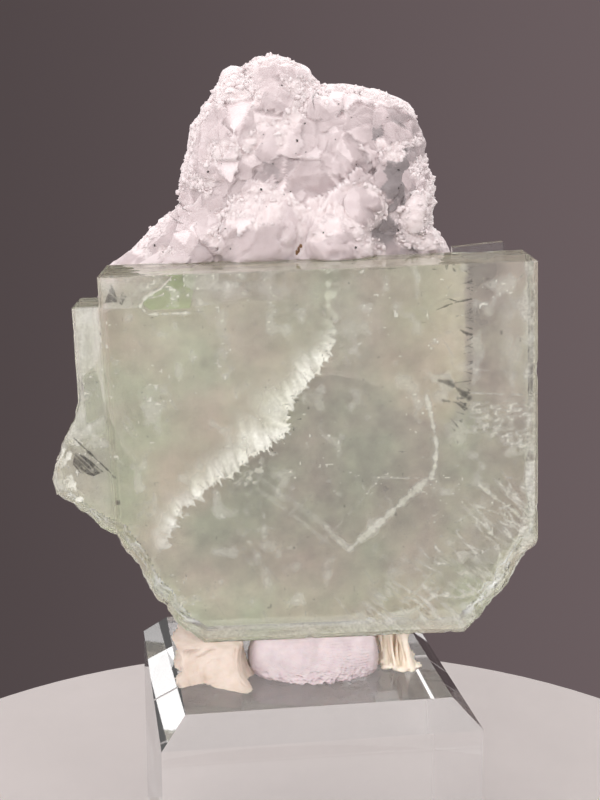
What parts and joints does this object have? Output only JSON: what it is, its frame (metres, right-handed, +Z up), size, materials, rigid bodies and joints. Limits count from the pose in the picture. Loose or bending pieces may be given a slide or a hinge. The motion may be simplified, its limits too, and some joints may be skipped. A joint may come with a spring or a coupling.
{
  "type": "fluorite specimen on base",
  "caption": "Flat cube-like pale green fluorite crystal with a white crystal crust, fixed with tack on a clear square base.",
  "frame": {"origin": "centre of the base's underside", "axes": "+Z up, along the specimen's height; the fluorite's broad face looks towards -Y, turned about 8 degrees towards -X"},
  "size_m": [0.0634, 0.0435, 0.1097],
  "materials": {
    "clear_base": "polished clear",
    "tack": "matte",
    "fluorite": "clear, pale green",
    "crust": "frosted white"
  },
  "bodies": {
    "root": {"base_block": "clear_base", "tack_left": "tack", "tack_middle": "tack", "tack_right": "tack", "fluorite_crystal": "fluorite", "crystal_crust": "crust"}
  },
  "joints": []
}
